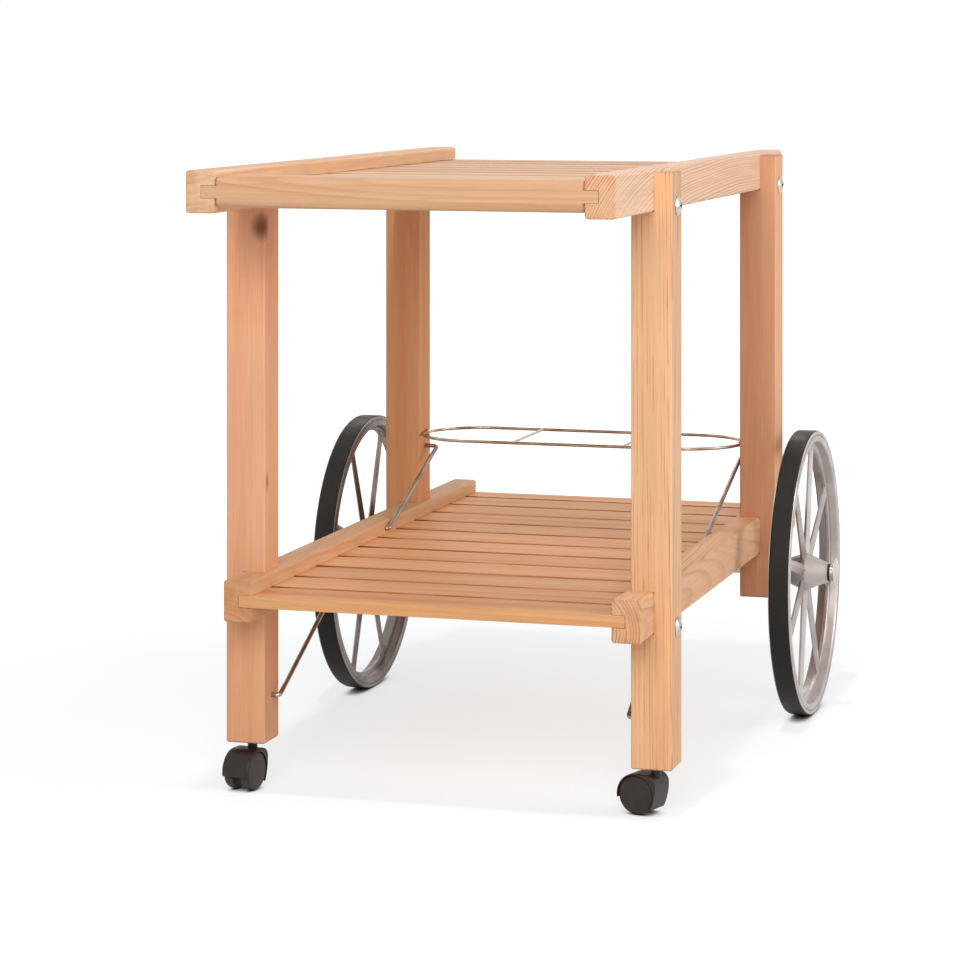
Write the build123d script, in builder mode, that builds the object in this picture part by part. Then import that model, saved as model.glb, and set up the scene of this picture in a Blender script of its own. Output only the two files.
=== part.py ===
from build123d import *
import os
from math import asin, cos, radians, sin

os.makedirs("parts", exist_ok=True)

# A two-tier serving trolley. X runs across it, Y from the push bar to the rear, Z up.
# The origin is on the floor under the middle of the whole. Lengths are in millimetres.

# Timber sections
post_size = 45.0
post_edge = 2.0
post_end_edge = 1.5
rail_height = 45.0
rail_width = 32.0
rail_edge = 3.5
rail_end_edge = 1.2
groove_height = 13.7
groove_depth = 15.0
slat_thickness = 13.0
slat_width = 67.5
slat_gap = 5.5
lower_slat_gaps = (5.0, 5.0, 6.8, 5.0, 6.8, 5.0, 5.0, 6.8, 5.0, 5.0)
slat_edge = 1.0
bar_depth = 64.0
bar_height = 33.0
bar_edge = 8.0
bar_end_edge = 4.0

# Layout of the frame
overall_depth = 950.0
posts_width = 502.0
post_pitch = 556.0
post_lap = 19.5
post_top = 682.5
front_post_bottom = 51.0
rear_post_bottom = 141.0
top_rail_bottom = 640.0
top_overhang = 167.0
top_tray_length = 857.0
lower_rail_bottom = 194.0
lower_overhang = 58.0
lower_tray_length = 841.0
lower_front_slat = 61.0
fit_gap = 0.2

# Bolts and barrel nuts
bolt_radius = 3.0
bolt_head_radius = 10.5
bolt_head_edge = 1.0
bolt_head_height = 5.0
bolt_cross_length = 8.4
bolt_cross_width = 2.0
bolt_height = 5.8
nut_radius = 5.0
nut_height = 13.5
nut_inset = 10.0

# Bent wire. Each brace stands at its own distance from the middle, at its upright and at its rail
wire_radius = 2.6
wire_bend = 4.2
wire_depth = 14.0
upper_brace_x = {"left": (189.5, 195.0), "right": (202.6, 195.6)}
lower_brace_x = {"left": (196.8, 195.2), "right": (198.0, 195.2)}
upper_brace_post_z = 309.0
upper_brace_rail_y = 92.0
upper_brace_rail_z = 229.5
lower_brace_post_z = 101.0
lower_brace_rail_y = -82.0
lower_brace_rail_z = 202.0
ring_wire_radius = 2.0
ring_height = 325.5
ring_radius = 72.0
ring_cross_x = 70.0
staple_radius = 1.1
staple_bend = 2.2
staple_depth = 14.0

# Rear wheels and axle
wheel_radius = 172.0
wheel_centre_x = 283.5
rim_width = 25.0
rim_lip = 0.9
rim_lip_height = 4.0
tyre_thickness = 5.0
tyre_shoulder = 1.6
hub_length = 57.0
hub_end_radius = 11.5
hub_waist_radius = 22.5
hub_waist_width = 5.0
bush_length = 20.0
bush_radius = 8.0
spoke_count = 8
spoke_stations = [
    (15.0, 15.5, 8.5),
    (139.0, 11.0, 6.5),
    (147.5, 14.0, 6.8),
    (155.0, 27.0, 7.2),
    (158.2, 30.0, 7.2),
]
left_rest_angle = 21.0
right_rest_angle = 13.5
axle_radius = 6.0
axle_half_length = 321.0
running_gap = 0.05
inner_washer_radius = 13.0
outer_washer_radius = 10.5
washer_play = 0.5
cap_radius = 18.0
cap_back_x = 318.0
cap_rim_x = 320.4
cap_rim_width = 0.8
cap_front_x = 322.5

# Casters
caster_wheel_radius = 20.5
caster_trail = 17.0
caster_half_width = 16.0
caster_web = 9.0
caster_hub_radius = 9.0
caster_pocket_gap = 0.7
caster_fender = 1.6
fender_wrap = 100.0
caster_edge = 1.2
caster_lead = 7.0
caster_brow_radius = 11.0
caster_skirt_end = (0.9, 6.0)
caster_neck_radius = 5.4
caster_neck_bottom = 33.0
caster_neck_top = 49.6
stem_radius = 4.0
stem_bottom = 33.0
stem_top = 82.0
socket_radius = 5.6
socket_flange_radius = 7.5
socket_flange = 1.0
socket_top = 86.0
pin_radius = 2.5
pin_half_length = 12.5
left_caster_heading = 81.0
right_caster_heading = -15.8

# Places that follow from the sizes
tray_front_y = -overall_depth / 2
front_post_y = tray_front_y + top_overhang + post_size / 2
rear_post_y = front_post_y + post_pitch
lower_tray_front_y = tray_front_y + top_overhang - lower_overhang
post_outer_x = posts_width / 2
post_inner_x = post_outer_x - post_size
post_x = post_outer_x - post_size / 2
rail_outer_x = post_outer_x - post_lap
rail_inner_x = rail_outer_x - rail_width
rail_x = rail_outer_x - rail_width / 2
slat_rise = (rail_height - slat_thickness) / 2
slat_length = 2 * (rail_inner_x + groove_depth - 0.5)
slat_pitch = slat_width + slat_gap
nut_x = rail_outer_x - nut_inset
axle_y = rear_post_y
axle_z = wheel_radius
ring_apex_x = post_inner_x - ring_wire_radius - 0.2
ring_arc_x = ring_apex_x - ring_radius
caster_axle_z = caster_wheel_radius
sides = (("left", -1), ("right", 1))


def save(piece, name):
    """Label a finished piece and write it under its own name."""
    piece.part.label = name
    export_step(piece.part, f"parts/{name}.step")


def facing(side, x, y, z):
    """A plane on the given side whose normal points away from the middle of the trolley."""
    return Plane(origin=(side * x, y, z), x_dir=(0, 1, 0), z_dir=(side, 0, 0))


def facing_in(side, x, y, z):
    """A plane on the given side whose normal points to the middle of the trolley."""
    return Plane(origin=(side * x, y, z), x_dir=(0, 1, 0), z_dir=(-side, 0, 0))


def facing_down(side, x, y, z):
    """A plane on the given side whose normal points to the floor."""
    return Plane(origin=(side * x, y, z), x_dir=(1, 0, 0), z_dir=(0, 0, -1))


def drill(plane, radius, depth):
    """Bore one hole down from a plane into the piece that is being built."""
    with Locations(plane):
        Hole(radius, depth)


def dome_middle(edge_x, edge_radius, front_x):
    """The point halfway along a spherical dome's outline, between its edge and its top."""
    rise = front_x - edge_x
    dome_radius = (edge_radius**2 + rise**2) / (2 * rise)
    half_angle = asin(edge_radius / dome_radius) / 2
    return (front_x - dome_radius * (1 - cos(half_angle)), dome_radius * sin(half_angle))


def make_post(side, y, bottom_z, drillings):
    """A square upright: open rebate for the top rail, housing for the lower rail, bolt holes."""
    cut_x = side * (rail_outer_x - post_size / 2)
    lower_cut = rail_height + fit_gap
    with BuildPart() as post:
        with BuildSketch(Plane.XY.offset(bottom_z)):
            with Locations((side * post_x, y)):
                RectangleRounded(post_size, post_size, post_edge)
        extrude(amount=post_top - bottom_z)
        chamfer(post.faces().filter_by(Axis.Z).edges(), post_end_edge)
        with BuildSketch(Plane.XZ.offset(-y)):
            with Locations((cut_x, top_rail_bottom + rail_height / 2)):
                Rectangle(post_size, rail_height)
            with Locations((cut_x, lower_rail_bottom + lower_cut / 2)):
                Rectangle(post_size, lower_cut)
        extrude(amount=post_size, both=True, mode=Mode.SUBTRACT)
        for rail_bottom in (top_rail_bottom, lower_rail_bottom):
            drill(facing(side, post_outer_x, y, rail_bottom + bolt_height), bolt_radius + 0.2, 30)
        for plane, radius, depth in drillings:
            drill(plane, radius, depth)
    return post


def make_rail(side, front_y, length, bottom_z, drillings):
    """A side rail, grooved along its inner face for the slats and bored for bolts and nuts."""
    groove_x = side * (rail_inner_x + groove_depth / 2 - 1)
    groove_z = bottom_z + rail_height / 2
    with BuildPart() as rail:
        with BuildSketch(Plane.XZ.offset(-front_y)):
            with Locations((side * rail_x, bottom_z + rail_height / 2)):
                RectangleRounded(rail_width, rail_height, rail_edge)
        extrude(amount=-length)
        chamfer(rail.faces().filter_by(Axis.Y).edges(), rail_end_edge)
        with BuildSketch(Plane.XZ.offset(-front_y)):
            with Locations((groove_x, groove_z)):
                Rectangle(groove_depth + 2, groove_height)
        extrude(amount=-length, mode=Mode.SUBTRACT)
        for y in (front_post_y, rear_post_y):
            bolt_depth = rail_outer_x - nut_x
            drill(facing(side, rail_outer_x, y, bottom_z + bolt_height), bolt_radius + 0.2, bolt_depth)
            drill(facing_down(side, nut_x, y, bottom_z), nut_radius + 0.1, nut_height + 1)
        for plane, radius, depth in drillings:
            drill(plane, radius, depth)
    return rail


def make_slat(front_y, width, bottom_z):
    """One slat of a tray, its rounded edges running across the trolley."""
    with BuildPart() as slat:
        with BuildSketch(Plane.YZ.offset(-slat_length / 2)):
            with Locations((front_y + width / 2, bottom_z + slat_thickness / 2)):
                RectangleRounded(width, slat_thickness, slat_edge)
        extrude(amount=slat_length)
    return slat


def make_wire(points, radius, bend):
    """A piece of round wire bent at each of the inner points."""
    with BuildPart() as wire:
        with BuildLine() as route:
            FilletPolyline(*points, radius=bend)
        with BuildSketch(Plane(origin=route.line @ 0, z_dir=route.line % 0)):
            Circle(radius)
        sweep(path=route.line)
    return wire


# Uprights
wire_bore = wire_radius + 0.1
staple_bore = staple_radius + 0.3
staple_rise = ring_wire_radius + staple_radius + 0.15
for side_name, side in sides:
    brace_hole = facing_in(side, post_inner_x, front_post_y, lower_brace_post_z)
    socket_hole = facing_down(side, post_x, front_post_y, front_post_bottom)
    front_drillings = [
        (brace_hole, wire_bore, wire_depth + 0.5),
        (socket_hole, socket_radius + 0.1, socket_top - front_post_bottom + 1),
    ]
    front_post = make_post(side, front_post_y, front_post_bottom, front_drillings)
    save(front_post, f"front_{side_name}_post")

    brace_hole = facing_in(side, post_inner_x, rear_post_y, upper_brace_post_z)
    axle_hole = facing(side, post_outer_x, axle_y, axle_z)
    rear_drillings = [
        (brace_hole, wire_bore, wire_depth + 0.5),
        (axle_hole, axle_radius + 0.1, post_size + 1),
    ]
    for rise in (-staple_rise, staple_rise):
        prong_hole = facing_in(side, post_inner_x, rear_post_y, ring_height + rise)
        rear_drillings.append((prong_hole, staple_bore, staple_depth + 0.5))
    rear_post = make_post(side, rear_post_y, rear_post_bottom, rear_drillings)
    save(rear_post, f"rear_{side_name}_post")

# Side rails
for side_name, side in sides:
    top_rail = make_rail(side, tray_front_y, top_tray_length, top_rail_bottom, [])
    save(top_rail, f"top_{side_name}_rail")

    upper_hole = facing_in(side, rail_inner_x, upper_brace_rail_y, upper_brace_rail_z)
    lower_hole = facing_in(side, rail_inner_x, lower_brace_rail_y, lower_brace_rail_z)
    lower_drillings = [
        (upper_hole, wire_bore, wire_depth + 0.5),
        (lower_hole, wire_bore, wire_depth + 0.5),
    ]
    lower_rail = make_rail(side, lower_tray_front_y, lower_tray_length, lower_rail_bottom, lower_drillings)
    save(lower_rail, f"lower_{side_name}_rail")

# Push bar: thick and rounded between the rails, a slat-thick tongue in each groove
top_slat_bottom = top_rail_bottom + slat_rise
bar_length = 2 * (rail_inner_x - fit_gap)
bar_y = tray_front_y + bar_depth / 2
bar_z = top_slat_bottom + slat_thickness / 2
with BuildPart() as push_bar:
    with BuildSketch(Plane.YZ.offset(-bar_length / 2)):
        with Locations((bar_y, bar_z)):
            RectangleRounded(bar_depth, bar_height, bar_edge)
    extrude(amount=bar_length)
    fillet(push_bar.faces().filter_by(Axis.X).edges(), bar_end_edge)
    with BuildSketch(Plane.YZ.offset(-slat_length / 2)):
        with Locations((bar_y, bar_z)):
            Rectangle(bar_depth, slat_thickness)
    extrude(amount=slat_length)
save(push_bar, "push_bar")

# Top slats: ten of full width behind the bar, then one that closes the rails' rear ends
top_slat_count = 10
slat_y = tray_front_y + bar_depth + slat_gap
for number in range(1, top_slat_count + 1):
    top_slat = make_slat(slat_y, slat_width, top_slat_bottom)
    save(top_slat, f"top_slat_{number:02d}")
    slat_y += slat_pitch
last_width = tray_front_y + top_tray_length - slat_y
top_last_slat = make_slat(slat_y, last_width, top_slat_bottom)
save(top_last_slat, f"top_slat_{top_slat_count + 1:02d}")

# Lower slats: a narrower one at each end of ten full ones, set by eye with uneven gaps
lower_slat_bottom = lower_rail_bottom + slat_rise
lower_first_slat = make_slat(lower_tray_front_y, lower_front_slat, lower_slat_bottom)
save(lower_first_slat, "lower_slat_01")
slat_y = lower_tray_front_y + lower_front_slat
for number, gap in enumerate(lower_slat_gaps, start=2):
    lower_slat = make_slat(slat_y + gap, slat_width, lower_slat_bottom)
    save(lower_slat, f"lower_slat_{number:02d}")
    slat_y += gap + slat_width
slat_y += slat_gap
last_width = lower_tray_front_y + lower_tray_length - slat_y
lower_last_slat = make_slat(slat_y, last_width, lower_slat_bottom)
save(lower_last_slat, f"lower_slat_{len(lower_slat_gaps) + 2:02d}")

# Frame bolts: one at each crossing, dome head on the upright, shank into the barrel nut
crossings = []
for side_name, side in sides:
    for y in (front_post_y, rear_post_y):
        for rail_bottom in (top_rail_bottom, lower_rail_bottom):
            crossings.append((side, y, rail_bottom))
bolt_length = post_outer_x - nut_x + 3.8
with BuildPart() as bolts:
    for side, y, rail_bottom in crossings:
        seat = (side * post_outer_x, y, rail_bottom + bolt_height)
        with BuildSketch(Plane(origin=seat, x_dir=(side, 0, 0), z_dir=(0, 0, 1))):
            with BuildLine():
                Polyline(
                    (bolt_head_height, 0),
                    (-bolt_length, 0),
                    (-bolt_length, bolt_radius),
                    (0, bolt_radius),
                    (0, bolt_head_radius),
                    (bolt_head_edge, bolt_head_radius),
                )
                ThreePointArc(
                    (bolt_head_edge, bolt_head_radius),
                    dome_middle(bolt_head_edge, bolt_head_radius, bolt_head_height),
                    (bolt_head_height, 0),
                )
            make_face()
        revolve(axis=Axis(seat, (side, 0, 0)))
        with BuildSketch(facing(side, post_outer_x + bolt_head_height, *seat[1:])):
            Rectangle(bolt_cross_length, bolt_cross_width)
            Rectangle(bolt_cross_width, bolt_cross_length)
        extrude(amount=-2.2, mode=Mode.SUBTRACT)
save(bolts, "frame_bolts")

# Barrel nuts: short cylinders let into the rails from below, cross-bored for the bolts
with BuildPart() as nuts:
    for side, y, rail_bottom in crossings:
        with BuildSketch(Plane.XY.offset(rail_bottom + 0.5)):
            with Locations((side * nut_x, y)):
                Circle(nut_radius)
        extrude(amount=nut_height)
    for side, y, rail_bottom in crossings:
        drill(facing(side, nut_x + nut_radius + 1, y, rail_bottom + bolt_height), bolt_radius + 0.1, 12)
save(nuts, "barrel_nuts")

# Wire braces: each end turned outward into an upright or a rail
for side_name, side in sides:
    post_end_x = side * (post_inner_x + wire_depth)
    rail_end_x = side * (rail_inner_x + wire_depth)
    by_post_x, by_rail_x = upper_brace_x[side_name]
    upper_brace = make_wire(
        [
            (post_end_x, rear_post_y, upper_brace_post_z),
            (side * by_post_x, rear_post_y, upper_brace_post_z),
            (side * by_rail_x, upper_brace_rail_y, upper_brace_rail_z),
            (rail_end_x, upper_brace_rail_y, upper_brace_rail_z),
        ],
        wire_radius,
        wire_bend,
    )
    save(upper_brace, f"upper_{side_name}_brace")
    by_post_x, by_rail_x = lower_brace_x[side_name]
    lower_brace = make_wire(
        [
            (post_end_x, front_post_y, lower_brace_post_z),
            (side * by_post_x, front_post_y, lower_brace_post_z),
            (side * by_rail_x, lower_brace_rail_y, lower_brace_rail_z),
            (rail_end_x, lower_brace_rail_y, lower_brace_rail_z),
        ],
        wire_radius,
        wire_bend,
    )
    save(lower_brace, f"lower_{side_name}_brace")

# Bottle ring: a long loop between the rear uprights with two cross wires
near_y = rear_post_y - ring_radius
far_y = rear_post_y + ring_radius
with BuildPart() as ring:
    with BuildLine() as half_loop:
        Line((0, near_y, ring_height), (ring_arc_x, near_y, ring_height))
        ThreePointArc(
            (ring_arc_x, near_y, ring_height),
            (ring_apex_x, rear_post_y, ring_height),
            (ring_arc_x, far_y, ring_height),
        )
        Line((ring_arc_x, far_y, ring_height), (0, far_y, ring_height))
    with BuildSketch(Plane(origin=(0, near_y, ring_height), z_dir=(1, 0, 0))):
        Circle(ring_wire_radius)
    sweep(path=half_loop.line)
    mirror(about=Plane.YZ)
    with BuildSketch(Plane.XZ.offset(-near_y)):
        with Locations((-ring_cross_x, ring_height), (ring_cross_x, ring_height)):
            Circle(ring_wire_radius - 0.2)
    extrude(amount=-2 * ring_radius)
save(ring, "bottle_ring")

# Ring staples: a small wire bow over each end of the ring, both prongs in the upright
with BuildPart() as staples:
    for side_name, side in sides:
        prong_x = side * (post_inner_x + staple_depth)
        crown_x = side * (ring_apex_x - ring_wire_radius - staple_radius - 0.15)
        with BuildLine() as bow:
            FilletPolyline(
                (prong_x, rear_post_y, ring_height + staple_rise),
                (crown_x, rear_post_y, ring_height + staple_rise),
                (crown_x, rear_post_y, ring_height - staple_rise),
                (prong_x, rear_post_y, ring_height - staple_rise),
                radius=staple_bend,
            )
        with BuildSketch(Plane(origin=bow.line @ 0, z_dir=bow.line % 0)):
            Circle(staple_radius)
        sweep(path=bow.line)
save(staples, "ring_staples")

# Rear axle: a plain rod through both rear uprights
with BuildPart() as axle:
    with BuildSketch(Plane.YZ.offset(-axle_half_length)):
        with Locations((axle_y, axle_z)):
            Circle(axle_radius)
    extrude(amount=2 * axle_half_length)
    chamfer(axle.faces().filter_by(Axis.X).edges(), 1.0)
save(axle, "rear_axle")

# Axle washers: one between each upright and hub, a smaller one between each hub and cap
hub_inner_x = wheel_centre_x - hub_length / 2
hub_outer_x = wheel_centre_x + hub_length / 2
with BuildPart() as washers:
    for side_name, side in sides:
        with BuildSketch(facing(side, post_outer_x, axle_y, axle_z)):
            Circle(inner_washer_radius)
            Circle(axle_radius + 0.1, mode=Mode.SUBTRACT)
        extrude(amount=hub_inner_x - post_outer_x - washer_play)
        with BuildSketch(facing(side, hub_outer_x + washer_play, axle_y, axle_z)):
            Circle(outer_washer_radius)
            Circle(axle_radius + 0.1, mode=Mode.SUBTRACT)
        extrude(amount=cap_back_x - hub_outer_x - washer_play)
save(washers, "axle_washers")

# Axle caps: thin domed discs with a short boss that grips the axle's end
with BuildPart() as caps:
    for side_name, side in sides:
        cap_origin = (side * cap_back_x, axle_y, axle_z)
        cap_rise = cap_front_x - cap_back_x
        rim_back = cap_rim_x - cap_back_x
        rim_front = rim_back + cap_rim_width
        bore_end = axle_half_length - cap_back_x + 0.3
        with BuildSketch(Plane(origin=cap_origin, x_dir=(side, 0, 0), z_dir=(0, 0, 1))):
            with BuildLine():
                Polyline(
                    (cap_rise, 0),
                    (bore_end, 0),
                    (bore_end, axle_radius + 0.1),
                    (0, axle_radius + 0.1),
                    (0, 9.5),
                    (rim_back, 9.5),
                    (rim_back, cap_radius),
                    (rim_front, cap_radius),
                )
                ThreePointArc(
                    (rim_front, cap_radius),
                    dome_middle(rim_front, cap_radius, cap_rise),
                    (cap_rise, 0),
                )
            make_face()
        revolve(axis=Axis(cap_origin, (side, 0, 0)))
save(caps, "axle_caps")

# Rear wheels: one casting of hub, ridged spokes and lipped rim, with a flat tyre and two bushes
rim_radius = wheel_radius - tyre_thickness
seat_half = rim_width / 2 - rim_lip
rim_half = [
    (seat_half, rim_radius),
    (seat_half, rim_radius + rim_lip_height),
    (rim_width / 2, rim_radius + rim_lip_height),
    (rim_width / 2, rim_radius - 7.4),
    (11.0, rim_radius - 8.4),
    (3.5, rim_radius - 9.6),
    (2.4, rim_radius - 13.0),
    (1.6, rim_radius - 14.0),
]
rim_outline = rim_half + [(-x, radius) for x, radius in reversed(rim_half)]
tyre_width = 2 * seat_half - 0.2
tyre_depth = tyre_thickness - 0.1
for side_name, side, rest_angle in (("left", -1, left_rest_angle), ("right", 1, right_rest_angle)):
    wheel_centre = (side * wheel_centre_x, axle_y, axle_z)
    wheel_axis = Axis(wheel_centre, (1, 0, 0))
    wheel_section = Plane(origin=wheel_centre, x_dir=(1, 0, 0), z_dir=(0, -1, 0))
    with BuildPart() as wheel:
        with BuildSketch(wheel_section):
            with BuildLine():
                Polyline(*rim_outline, close=True)
            make_face()
            with BuildLine():
                Polyline(
                    (-hub_length / 2, 0),
                    (-hub_length / 2, hub_end_radius),
                    (-hub_waist_width / 2, hub_waist_radius),
                    (hub_waist_width / 2, hub_waist_radius),
                    (hub_length / 2, hub_end_radius),
                    (hub_length / 2, 0),
                    close=True,
                )
            make_face()
        revolve(axis=wheel_axis)
        for number in range(spoke_count):
            turn = radians(rest_angle + number * 360 / spoke_count)
            outward = (0, sin(turn), cos(turn))
            for radius, width, thickness in spoke_stations:
                station = (side * wheel_centre_x, axle_y + radius * sin(turn), axle_z + radius * cos(turn))
                with BuildSketch(Plane(origin=station, x_dir=(1, 0, 0), z_dir=outward)):
                    with BuildLine():
                        Polyline(
                            (thickness / 2, 0),
                            (0, width / 2),
                            (-thickness / 2, 0),
                            (0, -width / 2),
                            close=True,
                        )
                    make_face()
            loft(ruled=True)
        with BuildSketch(facing(1, -hub_length, axle_y, axle_z).offset(side * wheel_centre_x)):
            Circle(bush_radius + 0.05)
        extrude(amount=2 * hub_length, mode=Mode.SUBTRACT)
    save(wheel, f"{side_name}_wheel")

    with BuildPart() as tyre:
        with BuildSketch(wheel_section):
            with Locations((0, wheel_radius - tyre_depth / 2)):
                RectangleRounded(tyre_width, tyre_depth, tyre_shoulder)
        revolve(axis=wheel_axis)
    save(tyre, f"{side_name}_tyre")

    with BuildPart() as bushes:
        for start in (-hub_length / 2, hub_length / 2 - bush_length):
            with BuildSketch(facing(1, start, axle_y, axle_z).offset(side * wheel_centre_x)):
                Circle(bush_radius)
                Circle(axle_radius + running_gap, mode=Mode.SUBTRACT)
            extrude(amount=bush_length)
    save(bushes, f"{side_name}_wheel_bushes")

# Caster sockets: plastic sleeves in the front uprights, a thin flange below each
with BuildPart() as sockets:
    for side_name, side in sides:
        with BuildSketch(Plane.XY.offset(front_post_bottom - socket_flange)):
            with Locations((side * post_x, front_post_y)):
                Circle(socket_flange_radius)
        extrude(amount=socket_flange)
        with BuildSketch(Plane.XY.offset(front_post_bottom)):
            with Locations((side * post_x, front_post_y)):
                Circle(socket_radius)
        extrude(amount=socket_top - front_post_bottom)
    with BuildSketch(Plane.XY.offset(front_post_bottom - socket_flange)):
        with Locations((-post_x, front_post_y), (post_x, front_post_y)):
            Circle(stem_radius + running_gap)
    extrude(amount=stem_top + 1 - front_post_bottom + socket_flange, mode=Mode.SUBTRACT)
save(sockets, "caster_sockets")

# Casters: a stem, a hood that wraps the two wheels, the pin and the wheels
pocket_radius = caster_wheel_radius + caster_pocket_gap
fender_radius = pocket_radius + caster_fender
wheel_inner = caster_web / 2 + 0.5
for side_name, side, heading in (("left", -1, left_caster_heading), ("right", 1, right_caster_heading)):
    lead = (cos(radians(heading)), sin(radians(heading)), 0)
    across = (sin(radians(heading)), -cos(radians(heading)), 0)
    foot = Vector(side * post_x, front_post_y, 0)
    middle = Plane(origin=foot, x_dir=lead, z_dir=across)
    hub = (-caster_trail, caster_axle_z)
    hub_point = middle.from_local_coords(Vector(*hub, 0))

    with BuildPart() as stem:
        with BuildSketch(Plane.XY.offset(stem_bottom)):
            with Locations((foot.X, foot.Y)):
                Circle(stem_radius)
        extrude(amount=stem_top - stem_bottom)
        chamfer(stem.faces().filter_by(Axis.Z).edges(), 0.8)
    save(stem, f"{side_name}_caster_stem")

    with BuildPart() as hood:
        with BuildSketch(middle):
            with BuildLine():
                fender = CenterArc(hub, fender_radius, 90, fender_wrap)
                crown = fender @ 0
                brow = (caster_lead - caster_brow_radius, crown.Y)
                front = (caster_lead, crown.Y - caster_brow_radius)
                Line(crown, brow)
                TangentArc(brow, front, tangent=(1, 0))
                TangentArc(front, caster_skirt_end, tangent=(0, -1))
                Line(caster_skirt_end, hub)
                Line(hub, fender @ 1)
            make_face()
        extrude(amount=caster_half_width, both=True)
        outline = []
        for edge in hood.edges():
            place = middle.to_local_coords(edge @ 0.5)
            from_hub = Vector(place.X - hub[0], place.Y - hub[1]).length
            if abs(place.Z) > caster_half_width - 0.1 and from_hub > pocket_radius:
                outline.append(edge)
        fillet(outline, caster_edge)
        with BuildSketch(Plane.XY.offset(caster_neck_bottom)):
            with Locations((foot.X, foot.Y)):
                Circle(caster_neck_radius)
        extrude(amount=caster_neck_top - caster_neck_bottom)
        for end in (-1, 1):
            with BuildSketch(middle.offset(end * caster_web / 2)):
                with Locations(hub):
                    Circle(pocket_radius)
            extrude(amount=end * caster_half_width, mode=Mode.SUBTRACT)
        with BuildSketch(middle):
            with Locations(hub):
                Circle(caster_hub_radius)
        extrude(amount=caster_web / 2, both=True)
        stem_mouth = Plane(origin=foot + Vector(0, 0, caster_neck_top))
        drill(stem_mouth, stem_radius + 0.02, caster_neck_top - stem_bottom + 0.2)
        pin_mouth = Plane(origin=hub_point, x_dir=lead, z_dir=across).offset(caster_web)
        drill(pin_mouth, pin_radius + 0.02, 2 * caster_web)
    save(hood, f"{side_name}_caster_hood")

    with BuildPart() as pin:
        with BuildSketch(middle.offset(-pin_half_length)):
            with Locations(hub):
                Circle(pin_radius)
        extrude(amount=2 * pin_half_length)
    save(pin, f"{side_name}_caster_pin")

    for number, end in ((1, -1), (2, 1)):
        outer = Vector(*across) * end
        with BuildPart() as caster_wheel:
            with BuildSketch(Plane(origin=hub_point, x_dir=outer, z_dir=lead)):
                with BuildLine():
                    Polyline(
                        (caster_half_width, 0),
                        (pin_half_length + 0.3, 0),
                        (pin_half_length + 0.3, pin_radius + running_gap),
                        (wheel_inner, pin_radius + running_gap),
                        (wheel_inner, caster_wheel_radius - 1.2),
                        (wheel_inner + 1.2, caster_wheel_radius),
                        (caster_half_width - 2.6, caster_wheel_radius),
                        (caster_half_width - 1.0, caster_wheel_radius - 0.8),
                        (caster_half_width - 0.4, caster_wheel_radius - 2.6),
                    )
                    ThreePointArc(
                        (caster_half_width - 0.4, caster_wheel_radius - 2.6),
                        dome_middle(caster_half_width - 0.4, caster_wheel_radius - 2.6, caster_half_width),
                        (caster_half_width, 0),
                    )
                make_face()
            revolve(axis=Axis(hub_point, outer))
        save(caster_wheel, f"{side_name}_caster_wheel_{number}")
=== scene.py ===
import math
import random

import bpy
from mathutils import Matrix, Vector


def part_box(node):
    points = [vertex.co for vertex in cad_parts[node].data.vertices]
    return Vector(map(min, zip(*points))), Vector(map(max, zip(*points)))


# A wooden serving trolley on two spoked wheels and two casters. The frame's solids are loaded
# in place, and each one then gets the finish of the real piece.
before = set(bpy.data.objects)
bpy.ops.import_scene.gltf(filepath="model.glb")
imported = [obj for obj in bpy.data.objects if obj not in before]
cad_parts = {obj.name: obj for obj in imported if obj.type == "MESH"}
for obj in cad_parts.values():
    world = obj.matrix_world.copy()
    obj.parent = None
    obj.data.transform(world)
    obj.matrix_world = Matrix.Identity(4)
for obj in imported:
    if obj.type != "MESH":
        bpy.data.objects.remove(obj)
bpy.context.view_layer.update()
bpy.ops.object.select_all(action="DESELECT")


# Front uprights: two square posts of planed, clear-oiled softwood, cut so that the growth rings
# run straight on the right one and broad on the left one, which has a knot near its top.
def srgb(red, green, blue):
    """A colour as a paint chart gives it, turned into the linear light that shaders use."""
    chart = (red / 255, green / 255, blue / 255)
    return [c / 12.92 if c <= 0.04045 else ((c + 0.055) / 1.055) ** 2.4 for c in chart] + [1.0]


def shader_node(material, kind, feeds=(), **settings):
    """Add one shader node, set it up and feed its inputs with values or with other outputs."""
    node = material.node_tree.nodes.new("ShaderNode" + kind)
    for name, value in settings.items():
        setattr(node, name, value)
    for key, feed in dict(feeds).items():
        if isinstance(feed, bpy.types.NodeSocket):
            material.node_tree.links.new(feed, node.inputs[key])
        else:
            node.inputs[key].default_value = feed
    return node


def maths(material, operation, first, second=0.0, third=0.0):
    """One step of arithmetic in a material."""
    feeds = {0: first, 1: second, 2: third}
    return shader_node(material, "Math", feeds, operation=operation).outputs[0]


def vectors(material, operation, *feeds, scale=None):
    """One step of arithmetic on a place or a colour, with its three numbers at once."""
    feeds = dict(enumerate(feeds))
    if scale is not None:
        feeds["Scale"] = scale
    outputs = shader_node(material, "VectorMath", feeds, operation=operation).outputs
    return outputs["Value"] if operation == "LENGTH" else outputs["Vector"]


def spread(material, feed, low, high, to_low=0.0, to_high=1.0, kind="SMOOTHSTEP"):
    """Stretch the part of a pattern between two levels over a new range, softly or evenly."""
    feeds = {"Value": feed, "From Min": low, "From Max": high, "To Min": to_low, "To Max": to_high}
    return shader_node(material, "MapRange", feeds, interpolation_type=kind).outputs[0]


def blend_colours(material, share, first, second):
    """Mix two colours by a share between 0 and 1."""
    feeds = {0: share, 6: first, 7: second}
    return shader_node(material, "Mix", feeds, data_type="RGBA").outputs[2]


def relief(material, height, strength, depth):
    """Fine unevenness that the light picks out, its depth in millimetres."""
    feeds = {"Height": height, "Strength": strength, "Distance": depth / 1000}
    return shader_node(material, "Bump", feeds).outputs[0]


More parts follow.
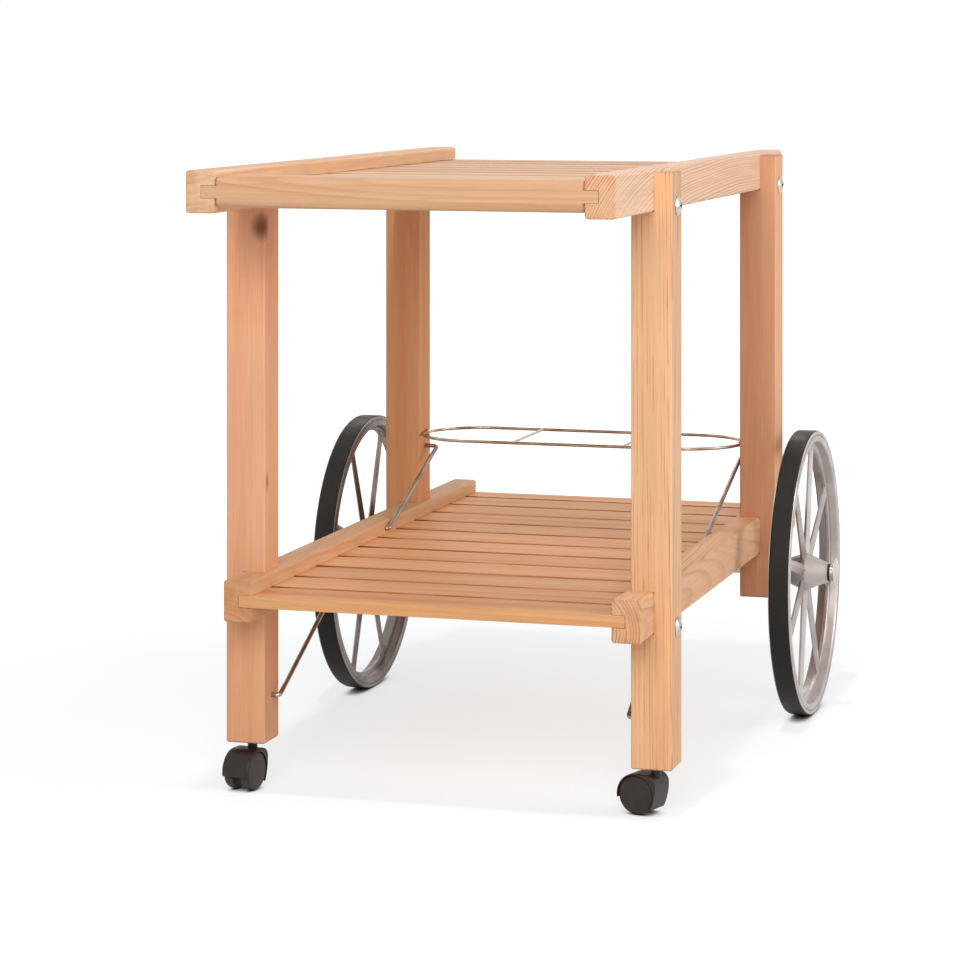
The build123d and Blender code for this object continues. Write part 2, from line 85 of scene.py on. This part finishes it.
def new_finish(name):
    """A plain material and its shader, ready for patterns."""
    material = bpy.data.materials.new(name)
    material.use_nodes = True
    return material, material.node_tree.nodes["Principled BSDF"]


def lead_in(material, shader, colour, roughness, bumps):
    """Lead the finished patterns to the shader."""
    for name, feed in (("Base Color", colour), ("Roughness", roughness), ("Normal", bumps)):
        material.node_tree.links.new(feed, shader.inputs[name])


def dress(material, *nodes):
    """Give carried-over pieces their finish."""
    for name in nodes:
        for slot in bpy.data.objects[name].material_slots:
            slot.material = material


def softwood(node, along, heart, ring, late, tone, tint, lean=(0.0, 0.0), bow=(0.0, 0.0),
             early=0.25, broken=0.0, streak=0.4, flank=(1.0, 1.0, 1.0), sawn=(0.76, 0.76, 0.76),
             knots=(), foot=(1.0, 1.0, 1.0), head=(1.0, 1.0, 1.0), gaps=(0.0, 0.0), gap_reach=5.0):
    """Softwood cut from a log. The growth rings are cylinders about the heart of the log, so they
    meet as lines on the faces and as arcs on the ends. Lengths are in millimetres: the heart's
    place from the middle of the piece across the grain, and the width of a ring. The log leans and
    bows against the piece. Each ring starts to darken where its early wood ends, and late says how
    dark it gets. The tint is partly the piece's own tone and partly painted light and shade. The
    flanks are the two faces across the first cross axis; their tint and that of the sawn ends are
    painted light and shade for how the lamps fall on these faces, and the ends' tint also gives the
    end grain its deeper colour. The foot is the end with the lower numbers and the head the other
    one, and either can take a tint that fades along the piece. A knot has a centre, half its size
    and a darkness. The last values say how dark the painted shade is on the long edges that face a
    gap to the front and to the rear, and how far in it spreads."""
    light, blush = srgb(238, 196, 156), srgb(222, 164, 122)
    late_colour, knot_colour = srgb(186, 120, 74), srgb(114, 58, 34)
    # Painted shade colours for the gap edges and for the corners by the rails
    gap_shade_colour, corner_shade_colour = srgb(166, 80, 30), srgb(104, 44, 14)
    plain = (1.0, 1.0, 1.0)
    gloss = 0.15
    relief_strength, relief_depth = 0.22, 0.4

    material, shader = new_finish(node + "_softwood")
    low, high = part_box(node)
    middle = {axis: (a + b) / 2 for axis, a, b in zip("XYZ", low, high)}
    cross = [axis for axis in "XYZ" if axis != along]
    texture = shader_node(material, "TexCoord").outputs
    place = texture["Object"]
    axes = shader_node(material, "SeparateXYZ", {0: place}).outputs
    facing = shader_node(material, "SeparateXYZ", {0: texture["Normal"]}).outputs

    def along_cross(run, first, second):
        """Three numbers in the order of the axes, from one along the grain and two across it."""
        given = {along: run, cross[0]: first, cross[1]: second}
        return [given[axis] for axis in "XYZ"]

    def grain_noise(fine, long, detail=2.0):
        """Noise with so many waves to the metre across the grain and along it, from a part of
        the log that no other piece has."""
        shift = along_cross(middle["X"] * 7 + middle["Y"] * 5, middle["Z"] * 3, 0.37)
        drawn = vectors(material, "MULTIPLY_ADD", place, along_cross(long, fine, fine), shift)
        feeds = {"Vector": drawn, "Scale": 1.0, "Detail": detail}
        return shader_node(material, "TexNoise", feeds).outputs

    def tinted(change):
        """The piece's tint, changed for some of its faces."""
        return (*(t * c for t, c in zip(tint, change)), 1.0)

    # Distance from the heart of the log, which leans, bows and wanders as a trunk does
    run = maths(material, "SUBTRACT", axes[along], middle[along])
    heart_place = along_cross(0, *(middle[axis] + h / 1000 for axis, h in zip(cross, heart)))
    offset = vectors(material, "SUBTRACT", place, heart_place)
    for slope, share in ((lean, run), (bow, maths(material, "POWER", run, 2.0))):
        moved = vectors(material, "SCALE", along_cross(0, *slope), scale=share)
        offset = vectors(material, "ADD", offset, moved)
    wander, ripple = 9.0, 1.3
    for amount, noise in ((wander, grain_noise(6, 3.0, 1.0)), (ripple, grain_noise(34, 14))):
        reach = along_cross(0, amount / 1000, amount / 1000)
        start = [-c / 2 for c in reach]
        bend = vectors(material, "MULTIPLY_ADD", noise["Color"], reach, start)
        offset = vectors(material, "ADD", offset, bend)
    flat = vectors(material, "MULTIPLY", offset, along_cross(0, 1, 1))
    radius = vectors(material, "LENGTH", flat)

    # A knot pushes the rings aside and is darkest in its middle
    ragged, push_share = 0.5, 1 / 900
    knot_shade = 0.0
    for centre, half_size, darkness in knots:
        scale = [1000 / h for h in half_size]
        shift = [-c / h for c, h in zip(centre, half_size)]
        apart = vectors(material, "LENGTH", vectors(material, "MULTIPLY_ADD", place, scale, shift))
        apart = maths(material, "MULTIPLY_ADD", grain_noise(120, 50)[0], ragged, apart)
        push = spread(material, apart, 0.6, 3.2, half_size[0] * push_share, 0.0)
        radius = maths(material, "ADD", radius, push)
        shade = spread(material, apart, 0.35, 1.75, darkness, 0.0)
        knot_shade = maths(material, "MAXIMUM", knot_shade, shade)

    # Rings of uneven width: pale early wood that darkens to a thin line of late wood
    width_rate, width_change = 70.0, 2.2
    darkest, ring_end = 0.9, 0.93
    rings = maths(material, "DIVIDE", radius, ring / 1000)
    feeds = {"W": maths(material, "MULTIPLY", radius, width_rate), "Scale": 1.0, "Detail": 1.0}
    uneven = shader_node(material, "TexNoise", feeds, noise_dimensions="1D").outputs[0]
    rings = maths(material, "MULTIPLY_ADD", uneven, width_change, rings)
    part = maths(material, "FRACT", rings)
    rise = spread(material, part, early, darkest)
    fall = spread(material, part, ring_end, 1.0, 1.0, 0.0)
    feeds = {"W": maths(material, "FLOOR", rings)}
    each = shader_node(material, "TexWhiteNoise", feeds, noise_dimensions="1D").outputs["Value"]
    strength = maths(material, "MULTIPLY_ADD", each, 0.6, 0.4)
    patch = spread(material, grain_noise(16, 3.5)[0], 0.3, 0.65, 0.35, 1.0)
    dark = maths(material, "MULTIPLY", maths(material, "MULTIPLY", rise, fall),
                 maths(material, "MULTIPLY", strength, patch))
    if broken:
        dash = spread(material, grain_noise(230, 21)[0], 0.4, 0.6, 1.0 - broken, 1.0)
        dark = maths(material, "MULTIPLY", dark, dash)

    # Broad warm bands under the rings, which are bolder on the sawn ends
    end_boost = 0.8
    end = spread(material, maths(material, "ABSOLUTE", facing[along]), 0.35, 0.75)
    side = spread(material, maths(material, "ABSOLUTE", facing[cross[0]]), 0.3, 0.95)
    band = grain_noise(48, 1.6, 3.0)[0]
    band = spread(material, band, 0.25, 0.75, tone - streak, tone + streak)
    colour = blend_colours(material, band, light, blush)
    line = maths(material, "MULTIPLY_ADD", end, late * end_boost, late)
    line = maths(material, "MULTIPLY", dark, line)
    colour = blend_colours(material, line, colour, late_colour)

    # Each piece's tint is partly its own tone and partly painted light and shade for how the lamps
    # light it
    foot_fade, head_fade = (-0.24, -0.04, 1.0, 0.0), (0.07, 0.17, 0.0, 1.0)
    # The flanks' and sawn ends' tints paint light and shade; the ends' tint also deepens the end
    # grain
    cut = blend_colours(material, side, tinted(plain), tinted(flank))
    cut = blend_colours(material, end, cut, tinted(sawn))
    # Either end can take a tint that fades along the piece
    for end_tint, stretch in ((foot, foot_fade), (head, head_fade)):
        if end_tint != plain:
            end_toned = spread(material, run, *stretch)
            end_toned = blend_colours(material, end_toned, (*plain, 1.0), (*end_tint, 1.0))
            cut = vectors(material, "MULTIPLY", cut, end_toned)
    colour = vectors(material, "MULTIPLY", colour, cut)
    if knots:
        colour = blend_colours(material, knot_shade, colour, knot_colour)

    # Painted shade darkens the edges that face a gap, most of all in the corners by the rails
    edge_round, edge_shade = 0.0008, 0.6
    corner_start, corner_full, corner_shade = 0.165, 0.195, 0.9
    for edge, border, gap in zip((-1, 1), (low[1], high[1]), gaps):
        if gap:
            inward = maths(material, "SUBTRACT", border, axes["Y"])
            inward = maths(material, "MULTIPLY", inward, edge)
            face = spread(material, maths(material, "MULTIPLY", facing["Y"], edge), 0.05, 0.45)
            rim = spread(material, inward, edge_round, gap_reach / 1000, edge_shade, 0.0)
            patchy = spread(material, grain_noise(30, 13.0)[0], 0.35, 0.6, 0.55 * gap, gap)
            gap_shade = maths(material, "MULTIPLY", maths(material, "MAXIMUM", face, rim), patchy)
            colour = blend_colours(material, gap_shade, colour, gap_shade_colour)
            corner = maths(material, "ABSOLUTE", run)
            corner = spread(material, corner, corner_start, corner_full, 0.0, corner_shade)
            corner = maths(material, "MULTIPLY", face, corner)
            colour = blend_colours(material, corner, colour, corner_shade_colour)

    # Fibres that catch the light
    fibre = grain_noise(850, 14)[0]
    colour = vectors(material, "SCALE", colour, scale=spread(material, fibre, 0.3, 0.7, 0.94, 1.05))
    roughness = spread(material, fibre, 0.3, 0.7, 0.5, 0.66, kind="LINEAR")
    bumps = relief(material, maths(material, "MULTIPLY_ADD", dark, 0.5, fibre),
                   relief_strength, relief_depth)
    lead_in(material, shader, colour, roughness, bumps)
    shader.inputs["Specular IOR Level"].default_value = gloss
    dress(material, node)


# Its flanks' tint paints the inner side lighter, and its head tint paints the shade under the top
# tray warmer
softwood("front_left_post", "Z", heart=(14, 58), ring=14.0, lean=(0.02, -0.03), late=0.1,
         tone=0.7, streak=0.15, tint=(1.06, 1.02, 1.06), flank=(1.08, 1.16, 1.2),
         foot=(0.96, 0.89, 0.83), head=(1.11, 1.01, 1.0),
         knots=(((-209, -307, 617), (13, 13, 16), 0.9),
                ((-209, -302, 604), (26, 26, 42), 0.17),
                ((-207, -300, 337), (3.2, 4.5, 10.5), 0.7)))
softwood("front_right_post", "Z", heart=(-96, 26), ring=4.2, lean=(0.02, 0.02), late=1.0,
         early=0.55, broken=0.85, tone=0.4, streak=0.2, tint=(1.03, 1.02, 0.99),
         flank=(0.94, 0.98, 1.07), foot=(1.0, 0.95, 0.87))

# Rear uprights: two shorter posts of the same oiled softwood, with quiet grain. Each is bored
# near its lower end for the axle and holds the wire ring and a brace.
softwood("rear_left_post", "Z", heart=(30, 70), ring=6.0, lean=(0.02, 0.03), late=0.15,
         tone=0.75, streak=0.25, tint=(1.06, 0.93, 0.8))
softwood("rear_right_post", "Z", heart=(-40, 64), ring=5.4, late=0.12, tone=0.75, streak=0.2,
         tint=(0.88, 0.81, 0.81), flank=(1.24, 1.3, 1.3))

# Side rails: four lengths with a groove along the inner face, let into the uprights. The rings
# show as arcs on their sawn front ends and as slanting or flowing lines on the outer faces.
softwood("top_left_rail", "Y", heart=(-40, 66), ring=7.0, lean=(0.05, 0.02), late=0.25,
         tone=0.6, tint=(0.86, 0.85, 0.87), flank=(1.4, 1.68, 1.85), sawn=(1.06, 1.15, 1.19))
softwood("top_right_rail", "Y", heart=(60, -70), ring=2.8, lean=(0.086, 0.0), bow=(-0.143, 0.0),
         late=1.1, early=0.55, tone=0.4, streak=0.25, tint=(0.92, 0.99, 1.15),
         flank=(1.2, 1.25, 1.29), sawn=(0.97, 0.86, 0.74))
softwood("lower_left_rail", "Y", heart=(-30, -70), ring=7.0, lean=(0.03, 0.04), late=0.25,
         tone=0.6, tint=(1.02, 1.06, 1.02), sawn=(0.79, 0.66, 0.57))
softwood("lower_right_rail", "Y", heart=(-62, -14), ring=3.5, lean=(0.04, 0.01), late=0.7,
         early=0.45, tone=0.4, tint=(1.14, 1.1, 1.04), flank=(0.855, 0.875, 0.98),
         sawn=(0.8, 0.75, 0.75))

# Push bar: one thick softwood board with well rounded edges, planed and oiled like the rails.
# A thin tongue at each end is held in the rails' grooves.
softwood("push_bar", "X", heart=(26, -62), ring=8.0, lean=(0.05, 0.1), bow=(0.0, -0.2), late=0.4,
         tone=0.45, streak=0.25, tint=(0.82, 0.8, 0.78))

# Tray slats: thin boards with eased edges, slid into the grooves side by side, each from a
# different part of the log. Painted shade darkens their edges where they face a gap, and the lower
# tray's slats are painted paler towards the rear, against the top tray's shade.
log = random.Random(11)
push_bar_gap = 0.7
for tray, count, front_tint, rear_tint, gap_shade, gap_reach in (
        ("top", 11, (0.82, 0.84, 0.78), (0.82, 0.84, 0.78), (0.92, 1.0), 12.0),
        ("lower", 12, (1.0, 0.9, 0.73), (1.28, 1.2, 1.04), (0.7, 1.0), 6.0)):
    gaps = [log.uniform(*gap_shade) for _ in range(count - 1)]
    for number in range(1, count + 1):
        heart_side = log.choice((-1, 1))
        pale = log.uniform(0.94, 1.06)
        rearward = (number - 1) / (count - 1)
        # The lower tray's slats are painted paler towards the rear, against the top tray's shade on
        # them
        tint = [pale * (a + (b - a) * rearward) for a, b in zip(front_tint, rear_tint)]
        foremost = tray == "lower" and number == 1
        front_gap = 0.0 if foremost else ([push_bar_gap] + gaps)[number - 1]
        rear_gap = (gaps + [0.0])[number - 1]
        softwood(f"{tray}_slat_{number:02d}", "X",
                 heart=(heart_side * log.uniform(5, 60),
                        log.choice((-1, 1)) * log.uniform(35, 80)),
                 ring=log.uniform(4.0, 7.0),
                 lean=(log.uniform(-0.03, 0.03), log.uniform(-0.03, 0.03)),
                 late=log.uniform(0.3, 0.55), tone=log.uniform(0.4, 0.65), streak=0.5, tint=tint,
                 # The foremost lower slat's front face is painted darker, as painted shade
                 flank=(0.9, 0.9, 0.88) if foremost else (1.0, 1.0, 1.0),
                 gaps=(front_gap, rear_gap), gap_reach=gap_reach)


# Frame bolts and their barrel nuts, the axle and its caps: turned steel with a bright plated
# finish, faintly clouded by handling. The cross recess of the bolts' heads is painted dark, as
# painted shade.
def speckle(material, place, scale, detail):
    """Even noise, with about so many specks to the metre."""
    feeds = {"Vector": place, "Scale": scale, "Detail": detail}
    return shader_node(material, "TexNoise", feeds).outputs[0]


def metal(name, colour, stain, rough, cloud_size, grain_size, grain_depth):
    """Bare or plated metal: clouded polish, a fine grain and a trace of a warmer stain. Sizes
    are in millimetres."""
    material, shader = new_finish(name)
    shader.inputs["Metallic"].default_value = 1.0
    place = shader_node(material, "TexCoord").outputs["Object"]
    cloud = speckle(material, place, 1000 / cloud_size, 4.0)
    grain = speckle(material, place, 1000 / grain_size, 2.0)
    stained = blend_colours(material, spread(material, cloud, 0.35, 0.7), colour, stain)
    roughness = spread(material, cloud, 0.3, 0.7, rough * 0.82, rough * 1.2)
    lead_in(material, shader, stained, roughness, relief(material, grain, 0.3, grain_depth))
    return material


def base_colour(material):
    """The socket for a finish's colour, and the pattern that feeds it so far."""
    socket = material.node_tree.nodes["Principled BSDF"].inputs["Base Color"]
    return socket, socket.links[0].from_socket


bright_plating = {"colour": srgb(206, 197, 191), "stain": srgb(176, 163, 153), "rough": 0.2,
                  "cloud_size": 12, "grain_size": 0.6, "grain_depth": 0.02}
plated = metal("bright_plating", **bright_plating)
dress(plated, "barrel_nuts", "rear_axle")
bolts = metal("bolt_plating", **bright_plating)
recess_shade = srgb(62, 50, 44)
wall_turn, wall_depth = 0.2, 0.0024
bottom_turn, bottom_depth = 0.97, 0.0012
head_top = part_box("frame_bolts")[1][0]
bolt_texture = shader_node(bolts, "TexCoord").outputs
bolt_depth = shader_node(bolts, "SeparateXYZ", {0: bolt_texture["Object"]}).outputs["X"]
bolt_depth = maths(bolts, "SUBTRACT", head_top, maths(bolts, "ABSOLUTE", bolt_depth))
bolt_turn = shader_node(bolts, "SeparateXYZ", {0: bolt_texture["Normal"]}).outputs["X"]
bolt_turn = maths(bolts, "ABSOLUTE", bolt_turn)
# Painted shade: the recess's walls and bottom, found by their facing and depth, are coloured dark
recess_wall = maths(bolts, "MULTIPLY", maths(bolts, "LESS_THAN", bolt_turn, wall_turn),
                    maths(bolts, "LESS_THAN", bolt_depth, wall_depth))
recess_bottom = maths(bolts, "MULTIPLY", maths(bolts, "GREATER_THAN", bolt_turn, bottom_turn),
                      maths(bolts, "GREATER_THAN", bolt_depth, bottom_depth))
bolt_socket, bolt_colour = base_colour(bolts)
recess = maths(bolts, "MAXIMUM", recess_wall, recess_bottom)
bolts.node_tree.links.new(blend_colours(bolts, recess, bolt_colour, recess_shade), bolt_socket)
dress(bolts, "frame_bolts")
dress(metal("satin_plating", colour=srgb(200, 187, 180), stain=srgb(186, 172, 165), rough=0.34,
            cloud_size=25, grain_size=0.6, grain_depth=0.004), "axle_caps")

# Braces, bottle ring and staples: drawn stainless wire, bent cold. The braces have a satin surface,
# and the ring is polished, so it shows the timber about it as a warm line. The warm tint of both
# wires' colours is in part a painted reflection of the timber.
dress(metal("drawn_stainless", colour=srgb(172, 160, 151), stain=srgb(142, 123, 108), rough=0.34,
            cloud_size=20, grain_size=0.5, grain_depth=0.02),
      "upper_left_brace", "upper_right_brace", "lower_left_brace", "lower_right_brace")
dress(metal("polished_stainless", colour=srgb(192, 177, 161), stain=srgb(158, 136, 115),
            rough=0.24, cloud_size=20, grain_size=0.5, grain_depth=0.004),
      "bottle_ring", "ring_staples")

# Rear wheels: sand-cast aluminium, hub, spokes and rim in one piece, a warm grey satin. The half of
# each towards the frame is painted darker as painted shade, and so is most of the left wheel, which
# stands in the trays' shade. A painted dark line below the lip of the rim stands in for the shade
# of a groove.
inner_to, outer_from = 0.004, 0.003
lip_width, line_core, line_edge, line_tone = 0.0045, 0.0005, 0.0011, 0.4
for side, fresh, aged, outer_level, inner_level in (
        ("left", srgb(186, 172, 164), srgb(168, 153, 145), 0.46, 0.48),
        ("right", srgb(190, 180, 176), srgb(172, 162, 158), 1.0, 0.64)):
    casting = metal(side + "_cast_aluminium", colour=fresh, stain=aged, rough=0.42,
                    cloud_size=45, grain_size=1.1, grain_depth=0.05)
    wheel_low, wheel_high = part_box(side + "_wheel")
    axle = [(a + b) / 2 for a, b in zip(wheel_low, wheel_high)]
    wheel_place = shader_node(casting, "TexCoord").outputs["Object"]
    outward = shader_node(casting, "SeparateXYZ", {0: wheel_place}).outputs["X"]
    # Painted shade: darker on the half towards the frame, and on the left wheel all over
    outer = spread(casting, maths(casting, "ABSOLUTE", outward), abs(axle[0]) - inner_to,
                   abs(axle[0]) + outer_from, inner_level, outer_level)
    spoke = vectors(casting, "SUBTRACT", wheel_place, axle)
    radius = vectors(casting, "LENGTH", vectors(casting, "MULTIPLY", spoke, (0, 1, 1)))
    # A painted dark line below the lip of the rim, standing in for a groove's shade
    off_line = maths(casting, "SUBTRACT", radius, wheel_high[1] - axle[1] - lip_width)
    off_line = maths(casting, "ABSOLUTE", off_line)
    painted_shade = maths(casting, "MULTIPLY", outer,
                  spread(casting, off_line, line_core, line_edge, line_tone, 1.0))
    casting_socket, casting_colour = base_colour(casting)
    toned = vectors(casting, "SCALE", casting_colour, scale=painted_shade)
    casting.node_tree.links.new(toned, casting_socket)
    dress(casting, side + "_wheel")


# Tyres: flat bands of black rubber pulled on to the rims. Bushes, washers, sockets and caster
# parts: moulded black plastic with a fine satin grain, the washers with a plated collar outside.
def moulded(name, colour, worn, rough, gloss, grain_size, grain_depth):
    """Rubber or plastic: a fine moulded grain, with a little dust and rubbing in broad patches.
    Sizes are in millimetres."""
    material, shader = new_finish(name)
    shader.inputs["Specular IOR Level"].default_value = gloss
    place = shader_node(material, "TexCoord").outputs["Object"]
    patches_per_metre = 38.0
    patch = speckle(material, place, patches_per_metre, 5.0)
    grain = speckle(material, place, 1000 / grain_size, 3.0)
    rubbed = blend_colours(material, spread(material, patch, 0.4, 0.75), colour, worn)
    roughness = spread(material, patch, 0.3, 0.7, rough * 0.85, rough * 1.15)
    lead_in(material, shader, rubbed, roughness, relief(material, grain, 0.35, grain_depth))
    return material


dress(moulded("tyre_black", colour=srgb(33, 31, 29), worn=srgb(46, 43, 40), rough=0.58, gloss=0.2,
              grain_size=0.9, grain_depth=0.05), "left_tyre", "right_tyre")
nylon = moulded("caster_black", colour=srgb(43, 36, 32), worn=srgb(55, 47, 42), rough=0.38,
                gloss=0.3, grain_size=0.7, grain_depth=0.04)
dress(nylon, "left_wheel_bushes", "right_wheel_bushes", "caster_sockets")
for side in ("left", "right"):
    dress(nylon, f"{side}_caster_hood", f"{side}_caster_wheel_1", f"{side}_caster_wheel_2")
    dress(plated, f"{side}_caster_stem", f"{side}_caster_pin")
washers = moulded("collared_black", colour=srgb(30, 27, 25), worn=srgb(42, 38, 35), rough=0.38,
                  gloss=0.3, grain_size=0.7, grain_depth=0.04)
collar_plating = srgb(190, 178, 171)
collar_width = 0.003
collar_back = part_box("axle_washers")[1][0] - collar_width
washer_place = shader_node(washers, "TexCoord").outputs["Object"]
washer_out = shader_node(washers, "SeparateXYZ", {0: washer_place}).outputs["X"]
collar = maths(washers, "GREATER_THAN", maths(washers, "ABSOLUTE", washer_out), collar_back)
washer_socket, washer_colour = base_colour(washers)
washer_colour = blend_colours(washers, collar, washer_colour, collar_plating)
washers.node_tree.links.new(washer_colour, washer_socket)
washers.node_tree.links.new(collar, washer_socket.node.inputs["Metallic"])
dress(washers, "axle_washers")


# Floor: a wide sheet of white studio paper, laid just under the wheels. The lamp above throws the
# trays' pale, soft shadow on it. Painted contact shade darkens it where a wheel stands on it, and
# its colour is a cool tint painted against the warm light that the wood throws on it.
def seen_rays(material):
    """1 for rays of the camera and of reflections, which see the white, and 0 for other light."""
    ray = shader_node(material, "LightPath").outputs
    mirrored = maths(material, "MAXIMUM", ray["Is Glossy Ray"], ray["Is Transmission Ray"])
    return maths(material, "MAXIMUM", ray["Is Camera Ray"], mirrored)


floor_width, floor_drop = 40.0, 0.0006
bpy.ops.mesh.primitive_plane_add(size=floor_width, location=(0, 0, -floor_drop))
floor = bpy.context.object
floor.name = "studio_floor"
bpy.ops.object.transform_apply(location=True)
white, white_shader = new_finish("studio_white")
white.node_tree.nodes.remove(white_shader)
contact_reach, contact_samples = 0.018, 12
glow_near, glow_far = 0.5, 2.0
glow_in_shadow, glow_outside = 0.7, 1.0
# The paper's slightly blue colour is a painted cool tint against the warm light from the wood
paper_colour, bounce_colour = (0.33, 0.36, 0.38), (0.7, 0.7, 0.7, 1)
floor_place = shader_node(white, "TexCoord").outputs["Object"]
away = vectors(white, "LENGTH", floor_place)
# Painted contact shade: the glow and the paper's colour darken where something stands close above
contact = shader_node(white, "AmbientOcclusion", {"Distance": contact_reach},
                      samples=contact_samples).outputs["AO"]
open_air = spread(white, contact, 0.05, 0.75)
glow = spread(white, away, glow_near, glow_far, glow_in_shadow, glow_outside)
glow = maths(white, "MULTIPLY", glow, open_air)
glowing = shader_node(white, "Emission", {"Color": (1, 1, 1, 1), "Strength": glow})
paper = vectors(white, "SCALE", paper_colour, scale=open_air)
paper = shader_node(white, "BsdfDiffuse", {"Color": paper})
lit = shader_node(white, "AddShader", {0: glowing.outputs[0], 1: paper.outputs[0]})
bounce = shader_node(white, "BsdfDiffuse", {"Color": bounce_colour})
shown = shader_node(white, "MixShader",
                    {0: seen_rays(white), 1: bounce.outputs[0], 2: lit.outputs[0]})
white.node_tree.links.new(shown.outputs[0],
                          white.node_tree.nodes["Material Output"].inputs["Surface"])
floor.data.materials.append(white)

# Studio light: white surroundings that light the trolley less than they show, a small soft box
# overhead that draws the shadow, and wide ones in front, at the right and behind.
fill_light, white_level = 0.3, 1.0
world = bpy.data.worlds.new("studio_surroundings")
bpy.context.scene.world = world
world.use_nodes = True
surround = world.node_tree.nodes["Background"]
surround.inputs["Color"].default_value = (1, 1, 1, 1)
surround_level = spread(world, seen_rays(world), 0.0, 1.0, fill_light, white_level, kind="LINEAR")
world.node_tree.links.new(surround_level, surround.inputs["Strength"])


def soft_box(name, place, target, size, power):
    """A square lamp that faces a point of the trolley."""
    bpy.ops.object.light_add(type="AREA", location=place)
    lamp = bpy.context.object
    lamp.name = name
    lamp.data.size = size
    lamp.data.energy = power
    aim = [t - p for t, p in zip(target, place)]
    level = math.hypot(aim[0], aim[1])
    lamp.rotation_euler = (math.atan2(level, -aim[2]), 0, math.atan2(-aim[0], aim[1]))


soft_box("overhead_soft_box", (0.14, -1.47, 4.64), target=(0, 0, 0.3), size=0.16, power=56)
soft_box("front_soft_box", (0.5, -2.6, 1.6), target=(0, 0, 0.45), size=1.6, power=44)
soft_box("right_soft_box", (2.6, 0.1, 1.2), target=(0, 0, 0.45), size=1.6, power=28)
soft_box("back_soft_box", (-0.6, 2.4, 1.9), target=(0, 0, 0.3), size=1.2, power=12)

# Camera: level, a little above the top tray, in front of the trolley and somewhat to its right.
# Its view is shifted down, as for a picture of a building, so that the uprights stay parallel.
camera_turn = math.radians(16.64)
bpy.ops.object.camera_add(location=(1.00186, -3.5265, 0.80705),
                          rotation=(math.radians(90), 0, camera_turn))
camera = bpy.context.object
camera.name = "studio_camera"
camera.data.lens = 117.56
camera.data.sensor_width = 36.0
camera.data.shift_y = -0.4444
bpy.context.scene.camera = camera
bpy.context.scene.view_settings.view_transform = "Standard"
